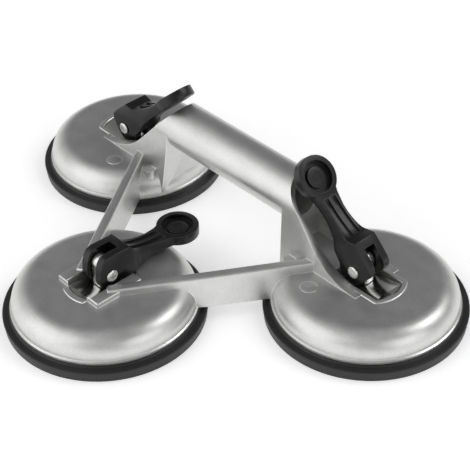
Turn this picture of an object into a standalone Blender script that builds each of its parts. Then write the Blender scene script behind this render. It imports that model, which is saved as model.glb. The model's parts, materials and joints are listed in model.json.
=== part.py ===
"""Three-cup vacuum lifter: a one-piece aluminium casting with three domed heads, a tubular handle and two ribs.

Each head holds a rubber disc with a steel core, a tongue that rises through a slot in the head, and a black lever
whose round cams roll on a steel seat and draw the tongue up. Metres, +Z up, origin on the floor under the middle.
"""

from math import asin, atan2, cos, pi, radians, sin, sqrt

import bmesh
import bpy
from mathutils import Matrix, Vector

MM = 0.001

# Layout: heads A and B stand under the ends of the handle, which lies along X, and head C stands alone.
HEAD_SPACING = 208.4 * MM
HEAD_OFFSET = 108.4 * MM
SEGMENTS = 48

# Casting: dome of each head
DOME_TOP = 24.4 * MM
DOME_FLAT_R = 41.0 * MM
DOME_SIDE_R = 54.0 * MM
DOME_SIDE_Z = 11.5 * MM
LIP_R = 54.9 * MM
LIP_Z = 8.6 * MM
WALL = 2.6 * MM

# Casting: handle tube, legs and the scoop that opens each leg towards the lever
HANDLE_R = 15.0 * MM
HANDLE_Z = 54.2 * MM
LEG_BACK_X = 50.2 * MM
LEG_HALF_FOOT = 18.1 * MM
LEG_FRONT_FROM_HEAD = 8.0 * MM
CHANNEL_HALF_FOOT = 11.2 * MM
SCOOP_TOP_X = 49.0 * MM
SCOOP_SLOPE = 1.1
SCOOP_ARC_R = 45.0 * MM
SCOOP_FOOT = 0.25 * MM

# Casting: ribs from head C to the legs, block under lever C, small round bosses
RIB_FOOT_X = 16.0 * MM
RIB_HEAD_X = 77.2 * MM
RIB_HALF_TOP = 2.9 * MM
RIB_HALF_FOOT = 5.4 * MM
RIB_TOP_AT_C = 28.2 * MM
RIB_TOP_AT_LEG = 30.4 * MM
BLOCK_HALF = 18.2 * MM
BLOCK_FRONT = 18.4 * MM
BLOCK_BACK = 14.0 * MM
BLOCK_TOP = 27.2 * MM
BOSS_R = 5.0 * MM
BOSS_RISE = 0.8 * MM
BOSSES = ((87.0 * MM, 24.6 * MM, BOSS_R), (62.5 * MM, 33.5 * MM, 4.0 * MM))

# Seat: a pocket in each head with a hollowed floor, lined with a curved steel plate. Head C's opens at the front.
SEAT_Z = 21.8 * MM
SEAT_R = 60.0 * MM
SEAT_T = 1.0 * MM
SEAT_HALF = 10.1 * MM
SEAT_REACH = 17.0 * MM
SEAT_FLOOR_T = 4.0 * MM
SEAT_RIM = 3.0 * MM
NOTCH_R = 12.6 * MM
NOTCH_Z = 22.9 * MM

# Rubber disc and steel core
RUBBER_R = 59.0 * MM
RUBBER_TOP_R = 59.6 * MM
RUBBER_RIM_Z = 6.7 * MM
RUBBER_WEB_T = 3.6 * MM
RUBBER_HOLLOW = 2.4 * MM
CORE_R = 28.0 * MM
CORE_T = 2.0 * MM
TONGUE_T = 6.5 * MM
TONGUE_R = 5.0 * MM
TONGUE_EYE = 4.6 * MM
TONGUE_FOOT_R = 9.0 * MM
TONGUE_FOOT_T = 3.0 * MM

# Lever: cams round the pin, open yoke, waisted arm and round thumb pad
PIVOT_Z = 31.9 * MM
LIFT = 1.9 * MM
RELEASED = 92.0
YOKE_HALF = 8.5 * MM
YOKE_SLOT_END = 9.6 * MM
YOKE_SLOT_R = 10.3 * MM
YOKE_TOP = (
    (14.8 * MM, 12.3 * MM),
    (-0.5 * MM, 13.0 * MM),
    (-3.9 * MM, 11.9 * MM),
    (-6.0 * MM, 9.4 * MM),
    (-7.1 * MM, 6.0 * MM),
)
ARM_HALF = 6.0 * MM
PAD_AT = 56.8 * MM
PAD_R = 12.7 * MM
PAD_TOP = 1.1 * MM
PAD_UNDER = -5.2 * MM
PAD_DISH_R = 9.6 * MM
PAD_DISH_DEPTH = 3.4 * MM
PAD_BUTTON_R = 6.4 * MM
PAD_BUTTON_RISE = 2.0 * MM

# Pivot screw and its sleeve nut
PIN_R = 2.5 * MM
SLEEVE_R = 3.3 * MM
PIN_HEAD_R = 3.8 * MM
PIN_HEAD_T = 1.4 * MM
CROSS_DEPTH = 1.0 * MM
CROSS_WIDTH = 0.9 * MM

# Clearances
GAP = 0.3 * MM
SLIDING = 0.5 * MM
SEAM = 0.2 * MM

# Each head: name, centre, direction of the lever (degrees from +X), lever's locked angle, shift of the pivot inwards
HEADS = (
    ("a", (-HEAD_SPACING / 2, HEAD_OFFSET / 2), 0, 44.0, 2.6 * MM),
    ("b", (HEAD_SPACING / 2, HEAD_OFFSET / 2), 180, 48.0, 2.6 * MM),
    ("c", (0.0, -HEAD_OFFSET / 2), 90, 0.0, 0.0),
)
CUT = 60 * MM

COLOURS = {
    "aluminium": ((0.62, 0.62, 0.62, 1), 0.38, 1.0),
    "rubber": ((0.02, 0.02, 0.02, 1), 0.6, 0.0),
    "plastic": ((0.015, 0.015, 0.015, 1), 0.35, 0.0),
    "steel": ((0.75, 0.75, 0.75, 1), 0.15, 1.0),
}


def clear_scene():
    for obj in list(bpy.data.objects):
        bpy.data.objects.remove(obj, do_unlink=True)


def make_collection(name):
    collection = bpy.data.collections.new(name)
    bpy.context.scene.collection.children.link(collection)
    return collection


def make_material(name):
    colour, roughness, metallic = COLOURS[name]
    material = bpy.data.materials.new(name)
    material.use_nodes = True
    shader = material.node_tree.nodes["Principled BSDF"]
    shader.inputs["Base Color"].default_value = colour
    shader.inputs["Roughness"].default_value = roughness
    shader.inputs["Metallic"].default_value = metallic
    return material


def finish(bm, name, collection, material=None, matrix=None):
    """Turns a bmesh into an object, with its normals outward and its faces smooth below 30 degrees."""
    bmesh.ops.remove_doubles(bm, verts=bm.verts, dist=1e-6)
    bmesh.ops.recalc_face_normals(bm, faces=bm.faces)
    mesh = bpy.data.meshes.new(name)
    bm.to_mesh(mesh)
    bm.free()
    mesh.shade_smooth()
    mesh.set_sharp_from_angle(angle=radians(30))
    obj = bpy.data.objects.new(name, mesh)
    collection.objects.link(obj)
    if material:
        mesh.materials.append(material)
    if matrix:
        obj.matrix_world = matrix
    return obj


def outline(points, lo, hi, matrix=None):
    """A prism: the outline in X and Y, from height lo to height hi, then turned by the matrix."""
    bm = bmesh.new()
    face = bm.faces.new([bm.verts.new((x, y, lo)) for x, y in points])
    top = bmesh.ops.extrude_face_region(bm, geom=[face])
    bmesh.ops.translate(bm, verts=[v for v in top["geom"] if isinstance(v, bmesh.types.BMVert)], vec=(0, 0, hi - lo))
    if matrix:
        bm.transform(matrix)
    return bm


def box(lo, hi):
    """A block between two opposite corners."""
    size = [b - a for a, b in zip(lo, hi)]
    middle = [(a + b) / 2 for a, b in zip(lo, hi)]
    bm = bmesh.new()
    bmesh.ops.create_cube(bm, size=1, matrix=Matrix.Translation(middle) @ Matrix.Diagonal((*size, 1)))
    return bm


def cylinder(radius, length, matrix, segments=SEGMENTS):
    """A cylinder along the matrix's own Z, centred on its origin."""
    bm = bmesh.new()
    bmesh.ops.create_cone(
        bm, cap_ends=True, segments=segments, radius1=radius, radius2=radius, depth=length, matrix=matrix
    )
    return bm


def turned(profile, segments=SEGMENTS):
    """A solid turned about Z from a closed outline of (radius, height) points that starts and ends on the axis."""
    bm = bmesh.new()
    verts = [bm.verts.new((r, 0, z)) for r, z in profile]
    edges = [bm.edges.new(pair) for pair in zip(verts, verts[1:])]
    bmesh.ops.spin(bm, geom=verts + edges, axis=(0, 0, 1), cent=(0, 0, 0), angle=2 * pi, steps=segments)
    return bm


def arc(centre, radius, start, end, steps):
    """Points on a circular arc, between two angles in degrees."""
    angles = [radians(start + (end - start) * i / steps) for i in range(steps + 1)]
    return [(centre[0] + radius * cos(t), centre[1] + radius * sin(t)) for t in angles]


def combine(obj, shapes, cutters, operation):
    """Joins the shapes to the object, or cuts them all away, and keeps the result as the object's own mesh."""
    operands = bpy.data.collections.new("operands")
    cutters.children.link(operands)
    for bm in shapes:
        cutter = finish(bm, "cutter", operands, matrix=obj.matrix_world)
        cutter.hide_render = True
        cutter.display_type = "WIRE"
    modifier = obj.modifiers.new("boolean", "BOOLEAN")
    modifier.operand_type = "COLLECTION"
    modifier.collection = operands
    modifier.operation = operation
    modifier.solver = "EXACT"
    graph = bpy.context.evaluated_depsgraph_get()
    mesh = bpy.data.meshes.new_from_object(obj.evaluated_get(graph))
    obj.modifiers.remove(modifier)
    obj.data = mesh
    for cutter in list(operands.objects):
        bpy.data.objects.remove(cutter, do_unlink=True)
    bpy.data.collections.remove(operands)


def side_view():
    """Turns an outline drawn in X and Y into one in X and Z, with its thickness along Y."""
    return Matrix.Rotation(radians(90), 4, "X")


def head_frame(head):
    """The head's own frame: X points along the lever, inwards, and the origin is on the floor under its middle."""
    _, (x, y), turn, _, _ = head
    return Matrix.Translation((x, y, 0)) @ Matrix.Rotation(radians(turn), 4, "Z")


def head_frame_of(bm, head):
    """The shape moved from the head's own frame to its place."""
    bm.transform(head_frame(head))
    return bm


def dome_profile(inset):
    """Outline of a dome from its lip up to the middle of its flat top, all of it moved inwards by the inset."""
    top, side = DOME_TOP - inset, DOME_SIDE_R - inset
    width, height = side - DOME_FLAT_R + inset / 2, top - DOME_SIDE_Z
    flat = side - width
    curve = [
        (flat + width * sin(radians(10 * i)), DOME_SIDE_Z + height * cos(radians(10 * i))) for i in range(0, 10)
    ]
    return [(0, top)] + curve


def dome(inset, drop):
    """A dome, closed underneath: the outer shape with no inset, or the hollow inside it with the wall's."""
    foot = LIP_Z - drop
    skirt = [(LIP_R - inset, DOME_SIDE_Z - 1.5 * MM), (LIP_R - inset, foot), (0, foot)]
    return turned(dome_profile(inset) + skirt)


def seat_arc(depth):
    """Side view of the seat's curve, at a depth below its top face."""
    half = asin(SEAT_REACH / SEAT_R) * 180 / pi
    return arc((0, SEAT_Z + SEAT_R), SEAT_R + depth, 270 - half, 270 + half, 14)


def scoop_outline():
    """Side view of what the scoop removes beside the handle's end: a slanting cut that runs out flat on the dome."""
    slant = atan2(SCOOP_SLOPE, 1)
    foot = DOME_TOP + SCOOP_FOOT
    meet = SCOOP_TOP_X + (HANDLE_Z + HANDLE_R - foot) / SCOOP_SLOPE
    end = meet + SCOOP_ARC_R * (1 - cos(slant)) / sin(slant)
    curve = arc((end, foot + SCOOP_ARC_R), SCOOP_ARC_R, 270, 270 - slant * 180 / pi, 10)
    top = HANDLE_Z + HANDLE_R + CUT / 4
    return [(HEAD_SPACING, top), (HEAD_SPACING, foot)] + curve + [(SCOOP_TOP_X - CUT / 4 / SCOOP_SLOPE, top)]


def leg_prism(back, front, half, foot_half, lo, hi):
    """A tapered block under the handle's end, with its half width at the handle's axis and at the dome's top."""
    bm = box((back, -1, lo), (front, 1, hi))
    for vert in bm.verts:
        below = (HANDLE_Z - vert.co.z) / (HANDLE_Z - DOME_TOP)
        vert.co.y = vert.co.y * (half + (foot_half - half) * below) + HEAD_OFFSET / 2
    return bm


def on_side(bm, side):
    """The same shape at head B (side 1), or mirrored across the plane X = 0 to head A (side -1)."""
    bmesh.ops.scale(bm, vec=(side, 1, 1), verts=bm.verts)
    return bm


def rib():
    """The rib from head C to the leg of head B: narrow on top, wider at the foot, and a little higher at the leg."""
    start = Vector((RIB_FOOT_X, -HEAD_OFFSET / 2))
    end = Vector((RIB_HEAD_X, HEAD_OFFSET / 2 - HANDLE_R))
    along = (end - start).normalized()
    across = Vector((-along.y, along.x))
    start, end = start - along * 8 * MM, end + along * 6 * MM
    foot = LIP_Z + SLIDING
    bm = bmesh.new()
    rings = []
    for point, top in ((start, RIB_TOP_AT_C), (end, RIB_TOP_AT_LEG)):
        corners = ((-RIB_HALF_FOOT, foot), (RIB_HALF_FOOT, foot), (RIB_HALF_TOP, top), (-RIB_HALF_TOP, top))
        rings.append([bm.verts.new((*(point + across * s), z)) for s, z in corners])
    for i in range(4):
        j = (i + 1) % 4
        bm.faces.new((rings[0][i], rings[0][j], rings[1][j], rings[1][i]))
    bm.faces.new(rings[0])
    bm.faces.new(rings[1])
    bmesh.ops.recalc_face_normals(bm, faces=bm.faces)
    return bm


def cast_frame(parts, cutters, material):
    """The whole casting: domes, legs, ribs, block and bosses joined to the handle, then every hollow cut from it."""
    middle = Matrix.Translation((0, HEAD_OFFSET / 2, HANDLE_Z)) @ Matrix.Rotation(radians(90), 4, "Y")
    obj = finish(cylinder(HANDLE_R, 2 * (SCOOP_TOP_X + HANDLE_R), middle), "cast_frame", parts, material)

    leg_front = HEAD_SPACING / 2 + LEG_FRONT_FROM_HEAD
    solids = [head_frame_of(dome(0, 0), head) for head in HEADS]
    block = box((-BLOCK_FRONT, -BLOCK_HALF, DOME_SIDE_Z), (BLOCK_BACK, BLOCK_HALF, BLOCK_TOP))
    top_edges = [e for e in block.edges if all(v.co.z > DOME_TOP for v in e.verts)]
    bmesh.ops.bevel(block, geom=top_edges, offset=0.7 * MM, segments=2, affect="EDGES", profile=0.5)
    solids.append(head_frame_of(block, HEADS[2]))
    for side in (1, -1):
        leg = leg_prism(LEG_BACK_X, leg_front, HANDLE_R - SEAM, LEG_HALF_FOOT, LIP_Z + GAP, HANDLE_Z)
        solids.append(on_side(leg, side))
        solids.append(on_side(rib(), side))
        for x, y, radius in BOSSES:
            centre = Matrix.Translation((x, y, DOME_TOP + BOSS_RISE - 5 * MM))
            solids.append(on_side(cylinder(radius, 10 * MM, centre, 20), side))
    combine(obj, solids, cutters, "UNION")

    hollows = [cylinder(HANDLE_R - WALL, HEAD_SPACING, middle)]
    for side in (1, -1):
        channel = leg_prism(
            LEG_BACK_X + WALL,
            HEAD_SPACING,
            HANDLE_R - WALL - SEAM,
            CHANNEL_HALF_FOOT,
            DOME_TOP + SCOOP_FOOT / 2,
            HANDLE_Z,
        )
        scoop = outline(
            scoop_outline(), -CUT / 2, CUT / 2, Matrix.Translation((0, HEAD_OFFSET / 2, 0)) @ side_view()
        )
        hollows += [on_side(channel, side), on_side(scoop, side)]
    for head in HEADS:
        inset = head[4]
        reach, half = TONGUE_R + SLIDING, TONGUE_T / 2 + SLIDING
        wide = SEAT_HALF + SLIDING
        floor = seat_arc(SEAT_T + GAP)
        pocket = [(floor[0][0], HANDLE_Z)] + floor + [(floor[-1][0], HANDLE_Z)]
        hollows.append(head_frame_of(outline(pocket, -wide, wide, side_view()), head))
        hollows.append(head_frame_of(box((inset - reach, -half, 0), (inset + reach, half, DOME_TOP)), head))
        hollows.append(head_frame_of(under_dome(cutters), head))
    notch = Matrix.Translation((-BLOCK_FRONT, 0, NOTCH_Z + NOTCH_R)) @ Matrix.Rotation(radians(90), 4, "Y")
    hollows.append(head_frame_of(cylinder(NOTCH_R, 2 * (BLOCK_FRONT - SEAT_REACH + MM), notch), HEADS[2]))
    combine(obj, hollows, cutters, "DIFFERENCE")
    return obj


def under_dome(cutters):
    """The hollow under a dome, less the floor that carries the seat."""
    under = SEAT_Z - SEAT_T - GAP - SEAT_FLOOR_T
    floor = box(
        (-SEAT_REACH - SEAT_RIM, -SEAT_HALF - SEAT_RIM, under),
        (SEAT_REACH + SEAT_RIM, SEAT_HALF + SEAT_RIM, DOME_TOP),
    )
    hollow = finish(dome(WALL, 1 * MM), "hollow", cutters)
    combine(hollow, [floor], cutters, "DIFFERENCE")
    bm = bmesh.new()
    bm.from_mesh(hollow.data)
    bpy.data.objects.remove(hollow, do_unlink=True)
    return bm


def rubber_disc(head, parts, material):
    """The disc stands on its thin outer edge, with its middle drawn up by the locked lever."""
    name = head[0]
    raised = RUBBER_HOLLOW + LIFT
    web = raised + RUBBER_WEB_T
    seat = LIP_Z - GAP
    profile = [
        (0, web),
        (CORE_R + 4 * MM, web),
        (CORE_R + 12 * MM, RUBBER_RIM_Z - 0.4 * MM),
        (LIP_R - WALL - 3 * MM, RUBBER_RIM_Z - 0.4 * MM),
        (LIP_R - WALL - 1 * MM, seat),
        (LIP_R + 0.3 * MM, seat),
        (RUBBER_TOP_R - 0.6 * MM, RUBBER_RIM_Z + 0.2 * MM),
        (RUBBER_TOP_R, RUBBER_RIM_Z - 0.5 * MM),
        (RUBBER_R, 0.4 * MM),
        (RUBBER_R - 0.4 * MM, 0),
        (RUBBER_R - 3 * MM, 0),
        (RUBBER_R - 9 * MM, 1.2 * MM),
        (CORE_R + 6 * MM, raised - 0.6 * MM),
        (CORE_R, raised),
        (0, raised),
    ]
    return finish(turned(profile, 64), f"rubber_disc_{name}", parts, material, head_frame(head))


def core_plate(head, parts, material):
    """A round steel plate bonded on the rubber, with its edge rounded."""
    name = head[0]
    foot = RUBBER_HOLLOW + LIFT + RUBBER_WEB_T + GAP
    edge = 0.5 * MM
    profile = [
        (0, foot + CORE_T),
        (CORE_R - edge, foot + CORE_T),
        (CORE_R, foot + CORE_T - edge),
        (CORE_R, foot + edge),
        (CORE_R - edge, foot),
        (0, foot),
    ]
    return finish(turned(profile), f"core_plate_{name}", parts, material, head_frame(head))


def tongue(head, parts, cutters, material):
    """The flat steel tongue riveted on the core, with a round eye for the pivot screw at its top."""
    name, _, _, _, inset = head
    foot = RUBBER_HOLLOW + LIFT + RUBBER_WEB_T + 2 * GAP + CORE_T
    eye = arc((inset, PIVOT_Z + TONGUE_EYE), TONGUE_R, 0, 180, 16)
    points = [(inset - TONGUE_R, foot), (inset + TONGUE_R, foot)] + eye
    obj = finish(outline(points, -TONGUE_T / 2, TONGUE_T / 2, side_view()), f"tongue_{name}", parts, material)
    place = Matrix.Translation((inset, 0, foot + TONGUE_FOOT_T / 2))
    combine(obj, [cylinder(TONGUE_FOOT_R, TONGUE_FOOT_T, place, 32)], cutters, "UNION")
    combine(obj, [cylinder(PIN_R + GAP, CUT, pin_frame(inset, PIVOT_Z), 24)], cutters, "DIFFERENCE")
    obj.matrix_world = head_frame(head)
    return obj


def pin_frame(inset, height):
    """In the head's frame: origin on the pivot's axis, with Z along the pin towards its plain end."""
    return Matrix.Translation((inset, 0, height)) @ Matrix.Rotation(radians(-90), 4, "X")


def seat_plate(head, parts, cutters, material):
    """The curved steel plate in the trough, with the tongue's slot through it."""
    name, _, _, _, inset = head
    bm = outline(seat_arc(SEAT_T) + seat_arc(0)[::-1], -SEAT_HALF, SEAT_HALF, side_view())
    obj = finish(bm, f"seat_plate_{name}", parts, material)
    reach, half = TONGUE_R + SLIDING, TONGUE_T / 2 + SLIDING
    combine(obj, [box((inset - reach, -half, 0), (inset + reach, half, CUT))], cutters, "DIFFERENCE")
    obj.matrix_world = head_frame(head)
    return obj


def lever_side(locked):
    """Side view of the lever about its pivot: yoke, cam, arm and pad.

    The cam's centre lies off the pivot, so that the pivot sinks by the lift as the lever turns to its released angle.
    """
    swing = radians(RELEASED - locked)
    off = LIFT / 2 / sin(swing / 2)
    turn = -swing / 2 - radians(locked)
    centre = (off * cos(turn), off * sin(turn))
    radius = PIVOT_Z - LIFT / 2 - SEAT_Z - GAP - 0.05 * MM
    cam = arc(centre, radius, 175, 318, 16)
    under = [(15.0 * MM, -7.4 * MM), (19.5 * MM, -5.6 * MM), (30 * MM, -4.6 * MM), (PAD_AT - PAD_R, PAD_UNDER)]
    end = PAD_AT + PAD_R + 1 * MM
    pad = [(end, PAD_UNDER), (end, PAD_TOP), (PAD_AT - PAD_R, PAD_TOP)]
    over = [(36 * MM, 1.9 * MM), (27 * MM, 3.6 * MM), (20.5 * MM, 5.6 * MM), (17.4 * MM, 8.4 * MM)]
    return cam + under + pad + over + list(YOKE_TOP)


def lever_plan():
    """Top view of the lever about its pivot: square yoke, waisted arm and round pad."""
    reach = 16.5 * MM
    neck = sqrt(PAD_R**2 - 8.0**2 * MM**2)
    half = [
        (-CUT / 4, YOKE_HALF),
        (reach, YOKE_HALF),
        (reach + 3 * MM, YOKE_HALF - 1.2 * MM),
        (26 * MM, ARM_HALF + 0.3 * MM),
        (34 * MM, ARM_HALF),
        (41 * MM, ARM_HALF + 0.7 * MM),
    ]
    start = 180 - 180 / pi * atan2(8.0 * MM, neck)
    pad = arc((PAD_AT, 0), PAD_R, start, -start, 28)
    return half + pad + [(x, -y) for x, y in half[::-1]]


def lever(head, parts, cutters, material):
    """The moulded lever. Its origin is on the pivot, which is the hinge's axis."""
    name, _, _, angle, _ = head
    bm = outline(lever_side(angle), -CUT / 2, CUT / 2, side_view())
    obj = finish(bm, f"lever_{name}", parts, material)
    half = TONGUE_T / 2 + SLIDING
    pad_face = Matrix.Translation((PAD_AT, 0, PAD_TOP))
    ring = cylinder(PAD_DISH_R, 2 * PAD_DISH_DEPTH, pad_face, 32)
    button = cylinder(PAD_BUTTON_R, PAD_DISH_DEPTH, pad_face @ Matrix.Translation((0, 0, -PAD_DISH_DEPTH)), 28)
    steps = (
        (outline(lever_plan(), -CUT, CUT), "INTERSECT"),
        (box((-CUT, -half, -CUT), (YOKE_SLOT_END, half, CUT)), "DIFFERENCE"),
        (cylinder(YOKE_SLOT_R, 2 * half, pin_frame(0, 0)), "DIFFERENCE"),
        (ring, "DIFFERENCE"),
        (button, "UNION"),
        (cylinder(PIN_R + GAP, CUT, pin_frame(0, 0), 24), "DIFFERENCE"),
        (cylinder(SLEEVE_R + GAP, CUT, pin_frame(0, 0) @ Matrix.Translation((0, 0, CUT / 2)), 28), "DIFFERENCE"),
    )
    for bm, operation in steps:
        combine(obj, [bm], cutters, operation)
    return obj


def pivot_screw(head, parts, cutters, material):
    """Pan head with a cross recess on the yoke's near cheek, shank through the tongue's eye."""
    name = head[0]
    face = -YOKE_HALF - GAP
    tip = YOKE_HALF - 1.2 * MM
    profile = [
        (0, tip),
        (PIN_R - 0.4 * MM, tip),
        (PIN_R, tip - 0.4 * MM),
        (PIN_R, -TONGUE_T / 2),
        (PIN_R, face),
        (PIN_HEAD_R, face),
        (PIN_HEAD_R, face - PIN_HEAD_T * 0.45),
        (PIN_HEAD_R * 0.86, face - PIN_HEAD_T * 0.8),
        (PIN_HEAD_R * 0.55, face - PIN_HEAD_T),
        (0, face - PIN_HEAD_T),
    ]
    obj = finish(turned(profile, 24), f"pivot_screw_{name}", parts, material)
    head_end = face - PIN_HEAD_T
    slots = []
    for wide, narrow in ((PIN_HEAD_R * 1.1, CROSS_WIDTH), (CROSS_WIDTH, PIN_HEAD_R * 1.1)):
        lo = (-wide / 2, -narrow / 2, head_end - MM)
        slots.append(box(lo, (wide / 2, narrow / 2, head_end + CROSS_DEPTH)))
    combine(obj, slots, cutters, "DIFFERENCE")
    return obj


def sleeve_nut(head, parts, material):
    """Low round head on the far cheek, with a sleeve in the cheek's hole and a blind hole for the shank's end."""
    name = head[0]
    face = YOKE_HALF + GAP
    inner = TONGUE_T / 2 + SLIDING + GAP
    bore = PIN_R + GAP
    depth = YOKE_HALF - 0.6 * MM
    profile = [
        (0, face + PIN_HEAD_T),
        (PIN_HEAD_R * 0.55, face + PIN_HEAD_T),
        (PIN_HEAD_R * 0.86, face + PIN_HEAD_T * 0.8),
        (PIN_HEAD_R, face + PIN_HEAD_T * 0.45),
        (PIN_HEAD_R, face),
        (SLEEVE_R, face),
        (SLEEVE_R, inner),
        (bore, inner),
        (bore, depth),
        (0, depth),
    ]
    return finish(turned(profile, 24), f"sleeve_nut_{name}", parts, material)


def hang_on_pivot(head, pieces, turn_by_pin):
    """Parents the lever and its screw to an empty on the hinge's axis, turned to the lever's angle at rest."""
    name, _, _, angle, inset = head
    pivot = bpy.data.objects.new(f"pivot_{name}", None)
    bpy.context.scene.collection.objects.link(pivot)
    pivot.matrix_world = (
        head_frame(head)
        @ Matrix.Translation((inset, 0, PIVOT_Z))
        @ Matrix.Rotation(radians(-angle), 4, "Y")
    )
    for piece in pieces:
        piece.parent = pivot
        if piece in turn_by_pin:
            piece.matrix_basis = pin_frame(0, 0)


def main():
    clear_scene()
    parts = make_collection("vacuum_lifter")
    cutters = make_collection("cutters")
    materials = {name: make_material(name) for name in COLOURS}
    cast_frame(parts, cutters, materials["aluminium"])
    for head in HEADS:
        rubber_disc(head, parts, materials["rubber"])
        core_plate(head, parts, materials["steel"])
        tongue(head, parts, cutters, materials["steel"])
        seat_plate(head, parts, cutters, materials["steel"])
        arm = lever(head, parts, cutters, materials["plastic"])
        screw = pivot_screw(head, parts, cutters, materials["steel"])
        nut = sleeve_nut(head, parts, materials["steel"])
        hang_on_pivot(head, (arm, screw, nut), (screw, nut))


main()
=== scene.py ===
import json
from math import asin, atan2, cos, pi, radians, sin

import bmesh
import bpy
from mathutils import Matrix, Vector

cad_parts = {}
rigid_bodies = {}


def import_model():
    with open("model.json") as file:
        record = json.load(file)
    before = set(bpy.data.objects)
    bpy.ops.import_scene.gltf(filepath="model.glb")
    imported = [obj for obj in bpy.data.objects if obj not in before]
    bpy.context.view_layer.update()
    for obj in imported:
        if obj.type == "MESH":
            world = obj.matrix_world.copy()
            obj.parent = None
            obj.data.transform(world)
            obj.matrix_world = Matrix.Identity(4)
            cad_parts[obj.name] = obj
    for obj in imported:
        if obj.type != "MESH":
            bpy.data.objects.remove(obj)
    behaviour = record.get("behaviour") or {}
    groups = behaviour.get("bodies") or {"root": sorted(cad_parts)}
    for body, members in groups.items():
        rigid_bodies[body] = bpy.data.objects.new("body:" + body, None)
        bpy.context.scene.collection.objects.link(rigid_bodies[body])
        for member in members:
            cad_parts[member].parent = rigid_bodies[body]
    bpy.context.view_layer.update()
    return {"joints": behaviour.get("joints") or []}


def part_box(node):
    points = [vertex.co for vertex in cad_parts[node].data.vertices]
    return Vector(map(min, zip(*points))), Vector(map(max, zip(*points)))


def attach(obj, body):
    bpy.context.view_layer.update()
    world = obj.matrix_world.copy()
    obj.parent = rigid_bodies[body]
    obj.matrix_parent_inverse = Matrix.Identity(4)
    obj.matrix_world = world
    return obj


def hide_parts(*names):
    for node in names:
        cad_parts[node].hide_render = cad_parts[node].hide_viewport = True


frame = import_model()

# The heads. Each has a letter; its centre is the rubber disc's, and its own X axis points the way its lever does,
# inwards. The lever's locked angle is how far it leans up from flat when it rests against the casting.
MM = 0.001
LOCKED_ANGLE = {"a": 44.0, "b": 48.0, "c": 0.0}
head_place = {}
pivot_place = {}
pivot_inset = {}
for joint in frame["joints"]:
    if joint["type"] != "hinge":
        continue
    letter = joint["name"][-1]
    low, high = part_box("rubber_disc_" + letter)
    middle = (low + high) / 2
    inwards = Vector((0, 0, 1)).cross(Vector(joint["axis"]))
    turn = Matrix.Rotation(atan2(inwards.y, inwards.x), 4, "Z")
    head_place[letter] = Matrix.Translation((middle.x, middle.y, 0)) @ turn
    pivot = Vector(joint["pos_m"])
    pivot_inset[letter] = (pivot - middle).dot(inwards)
    lean = Matrix.Rotation(-radians(LOCKED_ANGLE[letter]), 4, "Y")
    pivot_place[letter] = Matrix.Translation(pivot) @ turn @ lean

# The casting: one gravity die casting in aluminium. The domes, legs, ribs and the block under the single head's
# lever are one piece, hollow underneath, with the tube of the handle cored right through and open at both ends.
HANDLE_R = 15.0 * MM
HANDLE_Z = 54.2 * MM
WALL = 2.6 * MM
DOME_TOP = 24.4 * MM
DOME_FLAT_R = 41.0 * MM
DOME_SIDE_R = 54.0 * MM
DOME_SIDE_Z = 11.5 * MM
LIP_R = 54.9 * MM
LIP_Z = 8.6 * MM
LEG_BACK_X = 50.2 * MM
LEG_BACK_DRAFT = 2.0 * MM
LEG_HALF_FOOT = 18.1 * MM
CHANNEL_HALF_FOOT = 11.2 * MM
LEG_FRONT_FROM_HEAD = 8.0 * MM
SCOOP_TOP_X = 49.0 * MM
SCOOP_SLOPE = 1.1
SCOOP_ARC_R = 45.0 * MM
SCOOP_FOOT = 0.25 * MM
RIB_FOOT_X = 16.0 * MM
RIB_HEAD_X = 77.2 * MM
RIB_HALF_TOP = 2.9 * MM
RIB_HALF_FOOT = 5.4 * MM
RIB_TOP_AT_C = 28.2 * MM
RIB_TOP_AT_LEG = 30.4 * MM
BLOCK_HALF = 18.2 * MM
BLOCK_FRONT = 18.4 * MM
BLOCK_BACK = 14.0 * MM
BLOCK_TOP = 27.2 * MM
BOSSES = ((87.0 * MM, 24.6 * MM, 5.0 * MM, 0.35 * MM), (62.5 * MM, 33.5 * MM, 4.0 * MM, 1.3 * MM))
SEAT_Z = 21.8 * MM
SEAT_R = 60.0 * MM
SEAT_T = 1.0 * MM
SEAT_HALF = 10.1 * MM
SEAT_REACH = 17.0 * MM
SEAT_FLOOR_T = 4.0 * MM
SEAT_RIM = 3.0 * MM
TONGUE_T = 6.5 * MM
TONGUE_R = 5.0 * MM
BOSS_LENGTH = 10 * MM
GAP = 0.3 * MM
SLIDING = 0.5 * MM
SEAM = 0.2 * MM
SLOT_REACH = TONGUE_R + SLIDING
SLOT_HALF = TONGUE_T / 2 + SLIDING
PAST = 60 * MM
BACK_Y = head_place["a"].translation.y
HEAD_X = head_place["b"].translation.x
side_view = Matrix.Rotation(radians(90), 4, "X")


def prism(points, low, high, matrix=None):
    """A flat outline in X and Y, drawn out from one height to another and then turned by the matrix."""
    bm = bmesh.new()
    face = bm.faces.new([bm.verts.new((x, y, low)) for x, y in points])
    drawn = bmesh.ops.extrude_face_region(bm, geom=[face])["geom"]
    bmesh.ops.translate(bm, verts=[v for v in drawn if isinstance(v, bmesh.types.BMVert)], vec=(0, 0, high - low))
    if matrix:
        bm.transform(matrix)
    return bm


def turned(profile, steps):
    """A solid spun about Z from a line of (radius, height) points that starts and ends on the axis."""
    bm = bmesh.new()
    verts = [bm.verts.new((r, 0, z)) for r, z in profile]
    edges = [bm.edges.new(pair) for pair in zip(verts, verts[1:])]
    bmesh.ops.spin(
        bm, geom=verts + edges, axis=(0, 0, 1), cent=(0, 0, 0), angle=2 * pi, steps=steps, use_merge=True
    )
    return bm


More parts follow.
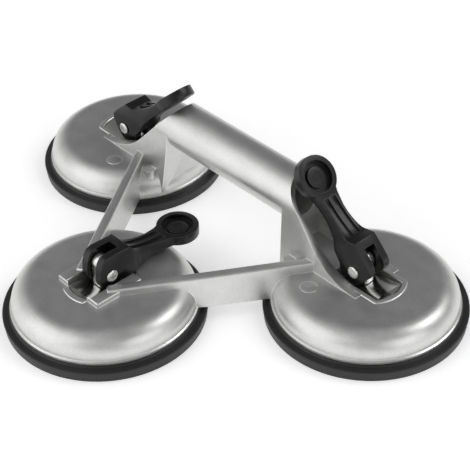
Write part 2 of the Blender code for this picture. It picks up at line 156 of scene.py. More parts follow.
def ring(profile, steps):
    """A solid spun about Z from a closed outline that stays clear of the axis."""
    bm = bmesh.new()
    verts = [bm.verts.new((r, 0, z)) for r, z in profile]
    edges = [bm.edges.new((verts[i - 1], verts[i])) for i in range(len(verts))]
    bmesh.ops.spin(
        bm, geom=verts + edges, axis=(0, 0, 1), cent=(0, 0, 0), angle=2 * pi, steps=steps, use_merge=True
    )
    return bm


def block(low, high):
    size = [b - a for a, b in zip(low, high)]
    centre = [(a + b) / 2 for a, b in zip(low, high)]
    bm = bmesh.new()
    bmesh.ops.create_cube(bm, size=1, matrix=Matrix.Translation(centre) @ Matrix.Diagonal((*size, 1)))
    return bm


def rod(radius, length, matrix, segments):
    bm = bmesh.new()
    bmesh.ops.create_cone(
        bm, cap_ends=True, segments=segments, radius1=radius, radius2=radius, depth=length, matrix=matrix
    )
    return bm


def placed(bm, matrix):
    bm.transform(matrix)
    return bm


def mirrored(bm, side):
    bmesh.ops.scale(bm, vec=(side, 1, 1), verts=bm.verts)
    return bm


def arc(centre, radius, start, end, steps):
    angles = [radians(start + (end - start) * i / steps) for i in range(steps + 1)]
    return [(centre[0] + radius * cos(t), centre[1] + radius * sin(t)) for t in angles]


def closed_mesh(bm, name):
    bmesh.ops.remove_doubles(bm, verts=bm.verts, dist=1e-6)
    bmesh.ops.recalc_face_normals(bm, faces=bm.faces)
    mesh = bpy.data.meshes.new(name)
    bm.to_mesh(mesh)
    bm.free()
    return mesh


def combined(bm, others, operation):
    """The first shape joined with the others, cut by them or kept only inside them."""
    operands = bpy.data.collections.new("operands")
    bpy.context.scene.collection.children.link(operands)
    for other in others:
        operands.objects.link(bpy.data.objects.new("operand", closed_mesh(other, "operand")))
    base = bpy.data.objects.new("base", closed_mesh(bm, "base"))
    bpy.context.scene.collection.objects.link(base)
    modifier = base.modifiers.new("boolean", "BOOLEAN")
    modifier.operand_type = "COLLECTION"
    modifier.collection = operands
    modifier.operation = operation
    modifier.solver = "EXACT"
    result = bmesh.new()
    result.from_object(base, bpy.context.evaluated_depsgraph_get())
    for obj in list(operands.objects) + [base]:
        bpy.data.meshes.remove(obj.data)
    bpy.data.collections.remove(operands)
    return result


def soften(bm, width, segments=2, sharper_than=30):
    """Rounds the edges that turn by more than the angle."""
    bmesh.ops.dissolve_limit(bm, angle_limit=radians(0.5), verts=bm.verts, edges=bm.edges)
    edges = [e for e in bm.edges if len(e.link_faces) == 2 and e.calc_face_angle() > radians(sharper_than)]
    bmesh.ops.bevel(
        bm,
        geom=edges,
        offset=width,
        segments=segments,
        profile=0.5,
        affect="EDGES",
        material=-1,
        clamp_overlap=True,
    )
    return bm


def make_piece(bm, name, body, node, material, smooth_below=32):
    """A finished piece that stands for its CAD node."""
    mesh = closed_mesh(bm, name)
    mesh.shade_smooth()
    mesh.set_sharp_from_angle(angle=radians(smooth_below))
    mesh.materials.append(material)
    obj = bpy.data.objects.new(name, mesh)
    bpy.context.scene.collection.objects.link(obj)
    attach(obj, body)
    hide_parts(node)
    return obj


def linear(hex_colour):
    channels = [int(hex_colour[i : i + 2], 16) / 255 for i in (1, 3, 5)]
    return [c / 12.92 if c <= 0.04045 else ((c + 0.055) / 1.055) ** 2.4 for c in channels] + [1.0]


def add_node(tree, kind, links=(), **settings):
    """One node, with its settings by attribute or socket name, and links as (socket, node, output)."""
    made = tree.nodes.new(kind)
    for key, value in settings.items():
        if hasattr(made, key):
            setattr(made, key, value)
        else:
            made.inputs[key.replace("_", " ")].default_value = value
    for socket, source, output in links:
        tree.links.new(source.outputs[output], made.inputs[socket])
    return made


def new_material(name):
    material = bpy.data.materials.new(name)
    material.use_nodes = True
    tree = material.node_tree
    return material, tree, tree.nodes["Principled BSDF"]


def feed(tree, shader, **sources):
    """Links nodes to the shader's sockets: a Normal from a Normal, everything else from a Result."""
    for socket, source in sources.items():
        output = "Normal" if socket == "Normal" else "Result"
        tree.links.new(source.outputs[output], shader.inputs[socket.replace("_", " ")])


# This mask is used below to paint a lighter highlight along sharp edges.
def edge_highlight_mask(tree, radius, full_at):
    """0 on open faces, rising to 1 where an edge turns sharply within the radius."""
    true_face = add_node(tree, "ShaderNodeNewGeometry")
    rounded = add_node(tree, "ShaderNodeBevel", samples=6, Radius=radius)
    both = [(0, rounded, "Normal"), (1, true_face, "Normal")]
    turn_away = add_node(tree, "ShaderNodeVectorMath", both, operation="DOT_PRODUCT")
    return add_node(tree, "ShaderNodeMapRange", [("Value", turn_away, "Value")], From_Min=0.985, From_Max=full_at)


# Sand-finished cast aluminium: the flat tops are fine-sanded, so they are rougher, with faint turning rings, and the
# faces that look up get a darker grey as painted shade; the shoulders and sides are barrel-polished and shine more,
# and sharp edges get a painted highlight, a much lighter colour, with a smoother finish. The grain is drawn
# at about 1 mm, coarser than real sanding, so that it shows.
cast_aluminium, tree, shader = new_material("cast_aluminium_sanded")
where = add_node(tree, "ShaderNodeTexCoord")
facing = add_node(tree, "ShaderNodeNewGeometry")
split = add_node(tree, "ShaderNodeSeparateXYZ", [("Vector", facing, "Normal")])
upward_shade_and_sanding = add_node(tree, "ShaderNodeMapRange", [("Value", split, "Z")], From_Min=0.93, From_Max=0.995)
grain = add_node(tree, "ShaderNodeTexNoise", [("Vector", where, "Object")], Scale=1100.0, Detail=3.0, Roughness=0.65)
cloud = add_node(tree, "ShaderNodeTexNoise", [("Vector", where, "Object")], Scale=90.0, Detail=4.0, Roughness=0.6)
level = add_node(tree, "ShaderNodeVectorMath", [(0, where, "Object")], operation="MULTIPLY")
level.inputs[1].default_value = (1, 1, 0)
to_head = []
for place in head_place.values():
    distance = add_node(tree, "ShaderNodeVectorMath", [(0, level, "Vector")], operation="DISTANCE")
    distance.inputs[1].default_value = (place.translation.x, place.translation.y, 0)
    to_head.append(distance)
pair = [(0, to_head[0], "Value"), (1, to_head[1], "Value")]
nearest = add_node(tree, "ShaderNodeMath", pair, operation="MINIMUM")
nearest = add_node(tree, "ShaderNodeMath", [(0, nearest, 0), (1, to_head[2], "Value")], operation="MINIMUM")
rings = add_node(tree, "ShaderNodeTexNoise", [("W", nearest, 0)], noise_dimensions="1D", Scale=900.0, Detail=3.0)
rough = add_node(tree, "ShaderNodeMapRange", [("Value", upward_shade_and_sanding, "Result")], To_Min=0.38, To_Max=0.52)
cloudy = add_node(tree, "ShaderNodeMath", [(0, cloud, "Fac")], operation="MULTIPLY_ADD")
cloudy.inputs[1].default_value = 0.12
cloudy.inputs[2].default_value = -0.06
rougher = add_node(tree, "ShaderNodeMath", [(0, rough, "Result"), (1, cloudy, 0)], operation="ADD")
# Painted shade: faces that look up get the darker grey #bcbcbc, the rest the lighter #d6d6d5; only the roughness change
# is the sanding.
tone = add_node(tree, "ShaderNodeMix", [("Factor", upward_shade_and_sanding, "Result")], data_type="RGBA")
tone.inputs["A"].default_value = linear("#d6d6d5")
tone.inputs["B"].default_value = linear("#bcbcbc")
turning = add_node(tree, "ShaderNodeBump", [("Height", rings, "Fac")], Strength=0.12, Distance=0.0001)
over_rings = [("Height", grain, "Fac"), ("Normal", turning, "Normal")]
relief = add_node(tree, "ShaderNodeBump", over_rings, Strength=0.35, Distance=0.00012)
patchy = add_node(tree, "ShaderNodeMath", [(0, grain, "Fac"), (1, cloud, "Fac")], operation="ADD")
speck = add_node(
    tree, "ShaderNodeMapRange", [("Value", patchy, 0)], From_Min=0.5, From_Max=1.5, To_Min=0.85, To_Max=1.15
)
specked = add_node(
    tree, "ShaderNodeMix", [("A", tone, "Result"), ("B", speck, "Result")], data_type="RGBA", blend_type="MULTIPLY"
)
specked.inputs["Factor"].default_value = 1.0
# Painted highlight: sharp edges get a near-white base colour #f4f4f2; their lower roughness stands for polish.
sharp_edges = edge_highlight_mask(tree, 0.0011, 0.93)
edge_highlighted_tone = add_node(
    tree, "ShaderNodeMix", [("Factor", sharp_edges, "Result"), ("A", specked, "Result")], data_type="RGBA"
)
edge_highlighted_tone.inputs["B"].default_value = linear("#f4f4f2")
worn_rough = add_node(tree, "ShaderNodeMix", [("Factor", sharp_edges, "Result"), ("A", rougher, 0)])
worn_rough.inputs["B"].default_value = 0.3
feed(tree, shader, Base_Color=edge_highlighted_tone, Roughness=worn_rough, Normal=relief)
shader.inputs["Metallic"].default_value = 1.0


def dome(inset, foot, steps):
    """The dome's outer shape, or the hollow inside it where it is inset by the wall."""
    top, side = DOME_TOP - inset, DOME_SIDE_R - inset
    across = side - DOME_FLAT_R + inset / 2
    up = top - DOME_SIDE_Z
    line = [(0, top), (side - across - 4 * MM, top)]
    line += [
        (side - across + across * sin(radians(4.5 * i)), DOME_SIDE_Z + up * cos(radians(4.5 * i)))
        for i in range(21)
    ]
    line += [(side, DOME_SIDE_Z - 0.9 * MM), (LIP_R - inset, DOME_SIDE_Z - 1.4 * MM), (LIP_R - inset, foot), (0, foot)]
    return turned(line, steps)


def tapered_leg(back, front, half, foot_half, low, high):
    bm = block((back, -1, low), (front, 1, high))
    for vert in bm.verts:
        below = (HANDLE_Z - vert.co.z) / (HANDLE_Z - DOME_TOP)
        if vert.co.x < front - MM:
            vert.co.x += LEG_BACK_DRAFT * below
        vert.co.y = vert.co.y * (half + (foot_half - half) * below) + BACK_Y
    return bm


def scoop():
    """What is milled away in front of the leg: a slope down from the handle's top that runs out flat on the dome."""
    slant = atan2(SCOOP_SLOPE, 1)
    foot = DOME_TOP + SCOOP_FOOT
    meet = SCOOP_TOP_X + (HANDLE_Z + HANDLE_R - foot) / SCOOP_SLOPE
    end = meet + SCOOP_ARC_R * (1 - cos(slant)) / sin(slant)
    curve = arc((end, foot + SCOOP_ARC_R), SCOOP_ARC_R, 270, 270 - slant * 180 / pi, 28)
    top = HANDLE_Z + HANDLE_R + PAST / 4
    points = [(2 * HEAD_X, top), (2 * HEAD_X, foot)] + curve + [(SCOOP_TOP_X - PAST / 4 / SCOOP_SLOPE, top)]
    return prism(points, -PAST / 2, PAST / 2, Matrix.Translation((0, BACK_Y, 0)) @ side_view)


def rib():
    start = Vector((RIB_FOOT_X, head_place["c"].translation.y))
    end = Vector((RIB_HEAD_X, BACK_Y - HANDLE_R))
    along = (end - start).normalized()
    across = Vector((-along.y, along.x))
    start, end = start - along * 8 * MM, end + along * 6 * MM
    foot = LIP_Z + SLIDING
    bm = bmesh.new()
    rings = []
    for point, top in ((start, RIB_TOP_AT_C), (end, RIB_TOP_AT_LEG)):
        corners = ((-RIB_HALF_FOOT, foot), (RIB_HALF_FOOT, foot), (RIB_HALF_TOP, top), (-RIB_HALF_TOP, top))
        verts = [bm.verts.new((*(point + across * s), z)) for s, z in corners]
        rings.append([bm.edges.new((verts[i], verts[(i + 1) % 4])) for i in range(4)])
    bmesh.ops.bridge_loops(bm, edges=rings[0] + rings[1])
    for loop in rings:
        bmesh.ops.contextual_create(bm, geom=loop)
    bmesh.ops.recalc_face_normals(bm, faces=bm.faces)
    return soften(bm, 0.9 * MM, 3)


# Round each pocket the casting swells a little. The pocket's outer end bows outwards and its edge is chamfered.
SURROUND_W = 4.0 * MM
SURROUND_RISE = 0.5 * MM
POCKET_END = 20.0 * MM
POCKET_END_R = 17.5 * MM
POCKET_EDGE = 0.45 * MM


def pocket_plan(half, out, inner):
    """The pocket seen from above: straight sides, and an outer end that bows outwards."""
    radius = POCKET_END_R + out
    swing = asin(min(half / radius, 0.95)) * 180 / pi
    end = arc((POCKET_END_R - POCKET_END, 0), radius, 180 - swing, 180 + swing, 24)
    return [(inner, half)] + end + [(inner, -half)]


def pocket_surround(half):
    """The low swelling that strengthens the dome round the pocket, with a soft edge."""
    outline = pocket_plan(half, SURROUND_W, SEAT_HALF)
    return soften(prism(outline, DOME_TOP - 3 * MM, DOME_TOP + SURROUND_RISE), 1.4 * MM, 5, 30)


def tapered(low_outline, low, high_outline, high):
    """A plug between two outlines with as many corners as each other."""
    bm = bmesh.new()
    rings = []
    for outline, z in ((low_outline, low), (high_outline, high)):
        verts = [bm.verts.new((x, y, z)) for x, y in outline]
        rings.append([bm.edges.new((verts[i - 1], verts[i])) for i in range(len(verts))])
    bmesh.ops.bridge_loops(bm, edges=rings[0] + rings[1])
    for loop in rings:
        bmesh.ops.contextual_create(bm, geom=loop)
    return bm


tube_axis = Matrix.Translation((0, BACK_Y, HANDLE_Z)) @ Matrix.Rotation(radians(90), 4, "Y")
handle_length = 2 * (SCOOP_TOP_X + HANDLE_R)
legs = [
    mirrored(
        tapered_leg(LEG_BACK_X, HEAD_X + LEG_FRONT_FROM_HEAD, HANDLE_R - SEAM, LEG_HALF_FOOT, LIP_Z + GAP, HANDLE_Z),
        side,
    )
    for side in (1, -1)
]
upper = combined(rod(HANDLE_R, handle_length, tube_axis, 128), legs, "UNION")
cores = [rod(HANDLE_R - WALL, 2 * HEAD_X, tube_axis, 128)]
for side in (1, -1):
    cores.append(mirrored(scoop(), side))
    cores.append(
        mirrored(
            tapered_leg(
                LEG_BACK_X + WALL,
                2 * HEAD_X,
                HANDLE_R - WALL - SEAM,
                CHANNEL_HALF_FOOT,
                DOME_TOP + SCOOP_FOOT / 2,
                HANDLE_Z,
            ),
            side,
        )
    )
upper = combined(upper, cores, "DIFFERENCE")
upper = soften(upper, 0.7 * MM, 3, 40)
raised = block((-BLOCK_FRONT, -BLOCK_HALF, DOME_SIDE_Z), (BLOCK_BACK, BLOCK_HALF, BLOCK_TOP))
solids = [placed(soften(raised, 1.0 * MM, 3), head_place["c"]), rib(), mirrored(rib(), -1)]
for letter, place in head_place.items():
    solids.append(placed(dome(0, LIP_Z, 192), place))
    solids.append(placed(pocket_surround(BLOCK_FRONT / 2 if letter == "c" else SEAT_HALF + SURROUND_W), place))
for side in (1, -1):
    for x, y, radius, rise in BOSSES:
        middle = Matrix.Translation((x, y, DOME_TOP + rise - BOSS_LENGTH / 2))
        solids.append(mirrored(soften(rod(radius, BOSS_LENGTH, middle, 40), 0.3 * MM), side))
body = combined(upper, solids, "UNION")


def seat_arc(depth, steps):
    """Side view of the seat's curve, at a depth below its top face, from the outer end to the inner one."""
    outer = asin((POCKET_END + MM) / SEAT_R) * 180 / pi
    inner = asin(SEAT_REACH / SEAT_R) * 180 / pi
    return arc((0, SEAT_Z + SEAT_R), SEAT_R + depth, 270 - outer, 270 + inner, steps)


hollows = []
for letter, place in head_place.items():
    inset = pivot_inset[letter]
    floor = seat_arc(SEAT_T + GAP, 24)
    pocket = [(floor[0][0], HANDLE_Z)] + floor + [(floor[-1][0], HANDLE_Z)]
    wide = SEAT_HALF + SLIDING
    plan = pocket_plan(wide, SLIDING, SEAT_REACH + SLIDING)
    pit = combined(prism(pocket, -wide - MM, wide + MM, side_view), [prism(plan, 0, PAST)], "INTERSECT")
    hollows.append(placed(pit, place))
    hollows.append(placed(block((inset - SLOT_REACH, -SLOT_HALF, 0), (inset + SLOT_REACH, SLOT_HALF, DOME_TOP)), place))
    rim = BLOCK_TOP if letter == "c" else DOME_TOP + SURROUND_RISE
    open_plan = pocket_plan(wide + 2 * POCKET_EDGE, SLIDING + 2 * POCKET_EDGE, SEAT_REACH + SLIDING)
    hollows.append(placed(tapered(plan, rim - POCKET_EDGE, open_plan, rim + POCKET_EDGE), place))
    seat_floor = block(
        (-SEAT_REACH - SEAT_RIM, -SEAT_HALF - SEAT_RIM, SEAT_Z - SEAT_T - GAP - SEAT_FLOOR_T),
        (SEAT_REACH + SEAT_RIM, SEAT_HALF + SEAT_RIM, DOME_TOP),
    )
    under = combined(dome(WALL, LIP_Z - MM, 96), [seat_floor], "DIFFERENCE")
    hollows.append(placed(under, place))
body = combined(body, hollows, "DIFFERENCE")
make_piece(body, "casting", "casting", "cast_frame", cast_aluminium, 28)

# Rubber discs: moulded in soft black rubber. The rim stands proud of the dome all round; the underside is dished,
# with a thin lip that seals on the load. The web in the middle is bonded to the core plate and moves with it.
black_rubber, tree, shader = new_material("moulded_black_rubber")
where = add_node(tree, "ShaderNodeTexCoord")
dust = add_node(tree, "ShaderNodeTexNoise", [("Vector", where, "Object")], Scale=160.0, Detail=5.0, Roughness=0.6)
pores = add_node(tree, "ShaderNodeTexNoise", [("Vector", where, "Object")], Scale=1500.0, Detail=2.0)
tone = add_node(tree, "ShaderNodeMix", [("Factor", dust, "Fac")], data_type="RGBA")
tone.inputs["A"].default_value = linear("#101010")
tone.inputs["B"].default_value = linear("#191919")
rough = add_node(tree, "ShaderNodeMapRange", [("Value", dust, "Fac")], To_Min=0.38, To_Max=0.56)
relief = add_node(tree, "ShaderNodeBump", [("Height", pores, "Fac")], Strength=0.12, Distance=0.00005)
feed(tree, shader, Base_Color=tone, Roughness=rough, Normal=relief)

RUBBER_R = 59.0 * MM
RUBBER_TOP_R = 59.6 * MM
RUBBER_RIM_Z = 6.7 * MM
RUBBER_WEB_T = 3.6 * MM
RUBBER_HOLLOW = 2.4 * MM
CORE_R = 28.0 * MM
LIFT = 1.9 * MM
drawn_up = RUBBER_HOLLOW + LIFT
web_top = drawn_up + RUBBER_WEB_T
under_lip = LIP_Z - GAP
ledge = RUBBER_RIM_Z - 0.4 * MM
WEB_R = CORE_R + 4 * MM
SPLIT = 0.1 * MM
web_under = drawn_up - 0.2 * MM
disc_line = [(WEB_R + SPLIT, web_top), (CORE_R + 12 * MM, ledge), (LIP_R - WALL - 3 * MM, ledge)]
disc_line += [(LIP_R - WALL - MM, under_lip), (LIP_R - 0.3 * MM, under_lip), (LIP_R + 0.2 * MM, under_lip - 0.3 * MM)]
disc_line += [(LIP_R + 0.9 * MM, RUBBER_RIM_Z + 0.5 * MM)]
disc_line += arc((RUBBER_TOP_R - 0.9 * MM, RUBBER_RIM_Z - 0.7 * MM), 0.9 * MM, 80, -4, 8)
disc_line += [(RUBBER_TOP_R - 0.25 * MM, 3.8 * MM), (RUBBER_R + 0.1 * MM, 1.6 * MM)]
disc_line += arc((RUBBER_R - 0.5 * MM, 0.5 * MM), 0.5 * MM, 0, -90, 6)
disc_line += [(RUBBER_R - 3 * MM, 0), (RUBBER_R - 9 * MM, 1.2 * MM), (CORE_R + 14 * MM, drawn_up - 1.4 * MM)]
disc_line += [(WEB_R + SPLIT, web_under)]
web_line = [(0, web_top), (WEB_R, web_top), (WEB_R, web_under), (CORE_R, drawn_up), (0, drawn_up)]
for letter, place in head_place.items():
    node = "rubber_disc_" + letter
    rim = ring(disc_line, 256)
    make_piece(placed(rim, place), "disc_" + letter, "casting", node, black_rubber, 40)
    web = turned(web_line, 128)
    make_piece(placed(web, place), "disc_web_" + letter, "core_" + letter, node, black_rubber, 40)

# Bright zinc-plated steel: thin plating over drawn steel, faintly mottled by the bath. The core plates, tongues,
# pivot screws and sleeve nuts are all of it.
zinc_steel, tree, shader = new_material("bright_zinc_plated_steel")
where = add_node(tree, "ShaderNodeTexCoord")
mottle = add_node(tree, "ShaderNodeTexNoise", [("Vector", where, "Object")], Scale=420.0, Detail=4.0, Roughness=0.55)
tone = add_node(tree, "ShaderNodeMix", [("Factor", mottle, "Fac")], data_type="RGBA")
tone.inputs["A"].default_value = linear("#eeeeec")
tone.inputs["B"].default_value = linear("#d8d8d6")
rough = add_node(tree, "ShaderNodeMapRange", [("Value", mottle, "Fac")], To_Min=0.2, To_Max=0.36)
relief = add_node(tree, "ShaderNodeBump", [("Height", mottle, "Fac")], Strength=0.1, Distance=0.00005)
feed(tree, shader, Base_Color=tone, Roughness=rough, Normal=relief)
shader.inputs["Metallic"].default_value = 1.0

CORE_T = 2.0 * MM
TONGUE_EYE = 4.6 * MM
TONGUE_FOOT_R = 9.0 * MM
TONGUE_FOOT_T = 3.0 * MM
PIVOT_Z = 31.9 * MM
PIN_R = 2.5 * MM
SLEEVE_R = 3.3 * MM
PIN_HEAD_R = 3.8 * MM
PIN_HEAD_T = 1.4 * MM
YOKE_HALF = 8.5 * MM
across_pin = Matrix.Rotation(radians(-90), 4, "X")

for letter, place in head_place.items():
    body = "core_" + letter
    inset = pivot_inset[letter]
    foot = web_top + GAP
    edge = 0.5 * MM
    plate = [(0, foot + CORE_T), (CORE_R - edge, foot + CORE_T)]
    plate += arc((CORE_R - edge, foot + CORE_T - edge), edge, 90, 0, 5)
    plate += arc((CORE_R - edge, foot + edge), edge, 0, -90, 5) + [(0, foot)]
    make_piece(
        placed(turned(plate, 96), place), "core_" + letter, body, "core_plate_" + letter, zinc_steel
    )
    foot += GAP + CORE_T
    eye = arc((inset, PIVOT_Z + TONGUE_EYE), TONGUE_R, 0, 180, 32)
    flat_bar = prism(
        [(inset - TONGUE_R, foot), (inset + TONGUE_R, foot)] + eye, -TONGUE_T / 2, TONGUE_T / 2, side_view
    )
    base = rod(TONGUE_FOOT_R, TONGUE_FOOT_T, Matrix.Translation((inset, 0, foot + TONGUE_FOOT_T / 2)), 64)
    hole = rod(PIN_R + GAP, PAST, Matrix.Translation((inset, 0, PIVOT_Z)) @ across_pin, 48)
    bar = combined(soften(flat_bar, 0.8 * MM, 3), [base], "UNION")
    bar = combined(bar, [hole], "DIFFERENCE")
    make_piece(placed(bar, place), "lift_tongue_" + letter, body, "tongue_" + letter, zinc_steel)

# Pivot screw and sleeve nut: a pan head with a cross recess on one cheek of the yoke, and a smooth low round head
# on the other, whose sleeve takes the screw's shank.
head_out = -YOKE_HALF - GAP
tip = YOKE_HALF - 1.2 * MM
HEAD_CURVE = ((0.96, 0.62), (0.86, 0.8), (0.7, 0.92), (0.45, 0.99))
screw_line = [(0, tip), (PIN_R - 0.4 * MM, tip), (PIN_R, tip - 0.4 * MM), (PIN_R, head_out)]
screw_line += [(PIN_HEAD_R - 0.1 * MM, head_out)]
screw_line += [(PIN_HEAD_R, head_out - 0.1 * MM), (PIN_HEAD_R, head_out - PIN_HEAD_T * 0.4)]
screw_line += [(PIN_HEAD_R * x, head_out - PIN_HEAD_T * z) for x, z in HEAD_CURVE]
screw_line += [(0, head_out - PIN_HEAD_T)]
CROSS_WIDTH = 0.9 * MM
CROSS_DEPTH = 1.0 * MM
CROSS_TAPER = 0.75
nut_out = YOKE_HALF + GAP
inner = TONGUE_T / 2 + SLIDING + GAP
bore_end = YOKE_HALF - 0.6 * MM
nut_line = [(0, nut_out + PIN_HEAD_T)]
nut_line += [(PIN_HEAD_R * x, nut_out + PIN_HEAD_T * z) for x, z in HEAD_CURVE[::-1]]
nut_line += [(PIN_HEAD_R, nut_out + PIN_HEAD_T * 0.4), (PIN_HEAD_R, nut_out), (SLEEVE_R, nut_out), (SLEEVE_R, inner)]
nut_line += [(PIN_R + GAP, inner), (PIN_R + GAP, bore_end), (0, bore_end)]
for letter, place in pivot_place.items():
    along = place @ across_pin
    outer = head_out - PIN_HEAD_T
    cross = []
    for wide, narrow in ((PIN_HEAD_R * 1.15, CROSS_WIDTH), (CROSS_WIDTH, PIN_HEAD_R * 1.15)):
        slot_cut = block((-wide / 2, -narrow / 2, outer - MM), (wide / 2, narrow / 2, outer + CROSS_DEPTH))
        for vert in slot_cut.verts:
            if vert.co.z > outer:
                vert.co.x *= CROSS_TAPER
                vert.co.y *= CROSS_TAPER
        cross.append(slot_cut)
    screw = combined(turned(screw_line, 64), cross, "DIFFERENCE")
    make_piece(
        placed(screw, along), "screw_" + letter, "core_" + letter, "pivot_screw_" + letter, zinc_steel
    )
    nut = placed(turned(nut_line, 64), along)
    make_piece(nut, "nut_" + letter, "core_" + letter, "sleeve_nut_" + letter, zinc_steel)

# Seat plates: polished stainless strip, curved to the floor of the pocket, that the lever's cams roll on. Each is
# stamped with a slot for the tongue and held by its ends in the pocket.
polished_steel, tree, shader = new_material("polished_stainless_strip")
where = add_node(tree, "ShaderNodeTexCoord")
stretch = add_node(tree, "ShaderNodeMapping", [("Vector", where, "Object")], Scale=(1.0, 1.0, 6.0))
lines = add_node(tree, "ShaderNodeTexNoise", [("Vector", stretch, "Vector")], Scale=700.0, Detail=3.0)
rough = add_node(tree, "ShaderNodeMapRange", [("Value", lines, "Fac")], To_Min=0.12, To_Max=0.24)
relief = add_node(tree, "ShaderNodeBump", [("Height", lines, "Fac")], Strength=0.05, Distance=0.00004)
feed(tree, shader, Roughness=rough, Normal=relief)
shader.inputs["Base Color"].default_value = linear("#c4c4c2")
shader.inputs["Metallic"].default_value = 1.0
for letter, place in head_place.items():
    inset = pivot_inset[letter]
    strip = prism(seat_arc(SEAT_T, 48) + seat_arc(0, 48)[::-1], -SEAT_HALF, SEAT_HALF, side_view)
    strip = combined(strip, [prism(pocket_plan(SEAT_HALF + MM, 0, PAST), 0, PAST)], "INTERSECT")
    strip = soften(strip, 0.15 * MM, 2, 40)
    slot_cut = block((inset - SLOT_REACH, -SLOT_HALF, 0), (inset + SLOT_REACH, SLOT_HALF, PAST))
    strip = combined(strip, [slot_cut], "DIFFERENCE")
    make_piece(
        placed(strip, place), "seat_" + letter, "casting", "seat_plate_" + letter, polished_steel
    )

# Levers: injection-moulded in black glass-filled nylon. Round cams and a square open yoke at the pivot, a waisted
# arm with two shallow grooves along its top, and a round thumb pad with a dished middle. Each turns on its screw.
black_nylon, tree, shader = new_material("moulded_black_nylon")
where = add_node(tree, "ShaderNodeTexCoord")
spark = add_node(tree, "ShaderNodeTexNoise", [("Vector", where, "Object")], Scale=1400.0, Detail=3.0, Roughness=0.6)
flow = add_node(tree, "ShaderNodeTexNoise", [("Vector", where, "Object")], Scale=120.0, Detail=4.0)
tone = add_node(tree, "ShaderNodeMix", [("Factor", flow, "Fac")], data_type="RGBA")
tone.inputs["A"].default_value = linear("#070707")
tone.inputs["B"].default_value = linear("#0d0d0d")
# Painted highlight: sharp edges of the levers are painted dark grey #3a3a3a instead of near-black.
sharp_edges = edge_highlight_mask(tree, 0.0008, 0.9)
edge_highlighted_tone = add_node(
    tree, "ShaderNodeMix", [("Factor", sharp_edges, "Result"), ("A", tone, "Result")], data_type="RGBA"
)
edge_highlighted_tone.inputs["B"].default_value = linear("#3a3a3a")
rough = add_node(tree, "ShaderNodeMapRange", [("Value", flow, "Fac")], To_Min=0.24, To_Max=0.42)
relief = add_node(tree, "ShaderNodeBump", [("Height", spark, "Fac")], Strength=0.2, Distance=0.00005)
feed(tree, shader, Base_Color=edge_highlighted_tone, Roughness=rough, Normal=relief)

RELEASED = 92.0
YOKE_SLOT_END = 9.6 * MM
YOKE_SLOT_R = 10.3 * MM
PAD_AT = 56.8 * MM
PAD_R = 12.7 * MM
PAD_TOP = 1.1 * MM
PAD_UNDER = -5.2 * MM
PAD_DISH_R = 9.6 * MM
PAD_DISH_DEPTH = 3.4 * MM
PAD_BUTTON_R = 6.4 * MM
PAD_BUTTON_RISE = 1.6 * MM
PAD_RECESS_R = 3.6 * MM
PAD_RECESS_DEPTH = 0.4 * MM
GROOVE_IN = 1.1 * MM
GROOVE_OUT = 4.3 * MM
GROOVE_DEPTH = 1.3 * MM
GROOVE_LINE = [(43.5, 2.0), (40.0, 1.4), (36.0, 1.9), (31.5, 2.6), (27.0, 3.6), (23.5, 4.6), (20.5, 5.7), (18.6, 6.9)]
ARM_OVER = [(36.0, 1.9), (31.5, 2.6), (27.0, 3.6), (23.5, 4.6), (20.5, 5.7), (18.6, 6.9), (17.4, 8.4)]
YOKE_TOP = [(14.8, 12.3), (6.0, 12.8), (-0.5, 13.0), (-2.4, 12.6), (-3.9, 11.9), (-5.1, 10.8), (-6.0, 9.4), (-7.1, 6.0)]


def lever_side(locked):
    """Side view about the pivot. The cam's centre lies off the pivot, so turning the lever lets the tongue sink."""
    swing = radians(RELEASED - locked)
    off = LIFT / 2 / sin(swing / 2)
    lean = -swing / 2 - radians(locked)
    centre = (off * cos(lean), off * sin(lean))
    cam = arc(centre, PIVOT_Z - LIFT / 2 - SEAT_Z - GAP - 0.05 * MM, 175, 318, 36)
    end = PAD_AT + PAD_R + MM
    under = [(15.0, -7.4), (17.0, -6.4), (19.5, -5.6), (24.0, -4.9), (30.0, -4.6), (37.0, -4.8)]
    points = [(x * MM, y * MM) for x, y in under] + [(PAD_AT - PAD_R, PAD_UNDER), (end, PAD_UNDER)]
    points += [(end, PAD_TOP), (PAD_AT - PAD_R, PAD_TOP)]
    return cam + points + [(x * MM, y * MM) for x, y in ARM_OVER + YOKE_TOP]


def lever_plan():
    """Top view about the pivot: square yoke, waisted arm, round pad."""
    reach = 16.5 * MM
    neck = 8.0 * MM
    start = 180 - 180 / pi * atan2(neck, PAD_R * cos(asin(neck / PAD_R)))
    waist = [(18.2, 8.2), (20.0, 7.4), (23.0, 6.7), (26.5, 6.3), (31.0, 6.0), (36.0, 6.1), (40.5, 6.7), (44.5, 7.3)]
    half = [(-PAST / 4, YOKE_HALF), (reach, YOKE_HALF)] + [(x * MM, y * MM) for x, y in waist]
    pad = arc((PAD_AT, 0), PAD_R, start, -start, 72)
    return half + pad + [(x, -y) for x, y in half[::-1]]


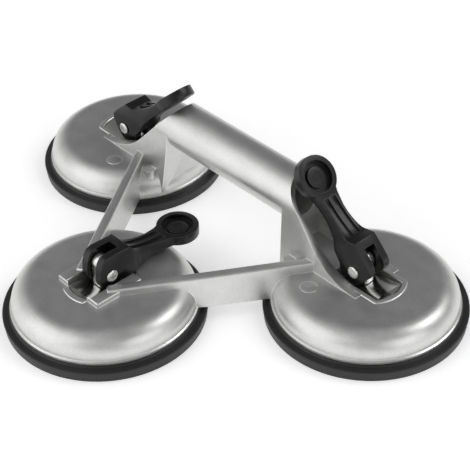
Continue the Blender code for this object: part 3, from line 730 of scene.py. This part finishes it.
for letter, place in pivot_place.items():
    side = prism(lever_side(LOCKED_ANGLE[letter]), -PAST / 2, PAST / 2, side_view)
    lever = combined(side, [prism(lever_plan(), -PAST, PAST)], "INTERSECT")
    lever = soften(lever, 0.6 * MM, 3, 34)
    trough = [(x * MM, z * MM - GROOVE_DEPTH) for x, z in GROOVE_LINE]
    trough += [(GROOVE_LINE[-1][0] * MM, 14 * MM), (GROOVE_LINE[0][0] * MM, 14 * MM)]
    cuts = [
        block((-PAST, -SLOT_HALF, -PAST), (YOKE_SLOT_END, SLOT_HALF, PAST)),
        rod(YOKE_SLOT_R, 2 * SLOT_HALF, across_pin, 96),
        rod(PAD_DISH_R, 2 * PAD_DISH_DEPTH, Matrix.Translation((PAD_AT, 0, PAD_TOP)), 96),
        rod(PIN_R + GAP, PAST, across_pin, 48),
        rod(SLEEVE_R + GAP, PAST, across_pin @ Matrix.Translation((0, 0, PAST / 2)), 48),
        prism(trough, -GROOVE_OUT, -GROOVE_IN, side_view),
        prism(trough, GROOVE_IN, GROOVE_OUT, side_view),
    ]
    lever = combined(lever, cuts, "DIFFERENCE")
    button_mid = Matrix.Translation((PAD_AT, 0, PAD_TOP - PAD_DISH_DEPTH))
    button = soften(rod(PAD_BUTTON_R, 2 * PAD_BUTTON_RISE, button_mid, 96), 0.5 * MM, 3)
    recess = Matrix.Translation((PAD_AT, 0, PAD_TOP - PAD_DISH_DEPTH + PAD_BUTTON_RISE))
    button = combined(button, [rod(PAD_RECESS_R, 2 * PAD_RECESS_DEPTH, recess, 64)], "DIFFERENCE")
    lever = combined(lever, [button], "UNION")
    make_piece(
        placed(lever, place), "cam_lever_" + letter, "handle_" + letter, "lever_" + letter, black_nylon
    )

# Floor, lights and camera: a plain pale floor that glows a little to stay white, a dim room with a broad window
# glow, three soft studio lights, and a long lens looking down from the front right.
floor_material, tree, shader = new_material("pale_floor")
where = add_node(tree, "ShaderNodeTexCoord")
faint = add_node(tree, "ShaderNodeTexNoise", [("Vector", where, "Object")], Scale=3.0, Detail=2.0)
tone = add_node(tree, "ShaderNodeMix", [("Factor", faint, "Fac")], data_type="RGBA")
tone.inputs["A"].default_value = linear("#f4f4f4")
tone.inputs["B"].default_value = linear("#f7f7f7")
feed(tree, shader, Base_Color=tone)
shader.inputs["Roughness"].default_value = 0.7
shader.inputs["Emission Color"].default_value = linear("#ffffff")
shader.inputs["Emission Strength"].default_value = 0.42
bm = bmesh.new()
bmesh.ops.create_grid(bm, x_segments=1, y_segments=1, size=4.0)
floor_mesh = bpy.data.meshes.new("floor")
bm.to_mesh(floor_mesh)
bm.free()
floor_mesh.materials.append(floor_material)
floor_object = bpy.data.objects.new("floor", floor_mesh)
bpy.context.scene.collection.objects.link(floor_object)

world = bpy.data.worlds.new("studio")
bpy.context.scene.world = world
world.use_nodes = True
sky = world.node_tree
outwards = add_node(sky, "ShaderNodeTexCoord")
height = add_node(sky, "ShaderNodeSeparateXYZ", [("Vector", outwards, "Generated")])
dusk = add_node(
    sky,
    "ShaderNodeMapRange",
    [("Value", height, "Z")],
    interpolation_type="SMOOTHSTEP",
    From_Min=0.02,
    From_Max=0.42,
    To_Min=0.8,
    To_Max=0.2,
)
window = add_node(sky, "ShaderNodeVectorMath", [(0, outwards, "Generated")], operation="DOT_PRODUCT")
window.inputs[1].default_value = Vector((-0.35, -0.85, 0.4)).normalized()
glow = add_node(
    sky, "ShaderNodeMapRange", [("Value", window, "Value")], interpolation_type="SMOOTHSTEP", From_Min=0.1, To_Max=0.5
)
bright = add_node(sky, "ShaderNodeMath", [(0, dusk, "Result"), (1, glow, "Result")], operation="ADD")
sky.links.new(bright.outputs[0], sky.nodes["Background"].inputs["Strength"])
sky.nodes["Background"].inputs["Color"].default_value = linear("#ffffff")


def softbox(name, place, target, size, power):
    light = bpy.data.lights.new(name, "AREA")
    light.shape = "RECTANGLE"
    light.size, light.size_y = size
    light.energy = power
    obj = bpy.data.objects.new(name, light)
    obj.location = place
    obj.rotation_euler = (Vector(target) - Vector(place)).to_track_quat("-Z", "Y").to_euler()
    bpy.context.scene.collection.objects.link(obj)


softbox("key_left", (-0.9, -2.0, 1.7), (0, 0, 0), (3.0, 2.4), 15)
softbox("fill_right", (2.2, 0.2, 1.2), (0, 0, 0), (1.8, 1.4), 10)
softbox("rear_top", (1.0, 1.6, 2.0), (0, 0, 0), (1.2, 1.2), 14)

camera_data = bpy.data.cameras.new("camera")
camera_data.lens = 104.28
camera_data.sensor_width = 36.0
camera_data.clip_start = 0.05
camera = bpy.data.objects.new("camera", camera_data)
right = Vector((0.68170, 0.73140, -0.01840))
up = Vector((-0.44500, 0.43447, 0.78308))
back = Vector((0.58074, -0.52564, 0.62165))
facing_frame = Matrix((right, up, back)).transposed().to_4x4()
camera.matrix_world = Matrix.Translation((0.4919, -0.3971, 0.5260)) @ facing_frame
bpy.context.scene.collection.objects.link(camera)
bpy.context.scene.camera = camera
bpy.context.scene.view_settings.view_transform = "Standard"
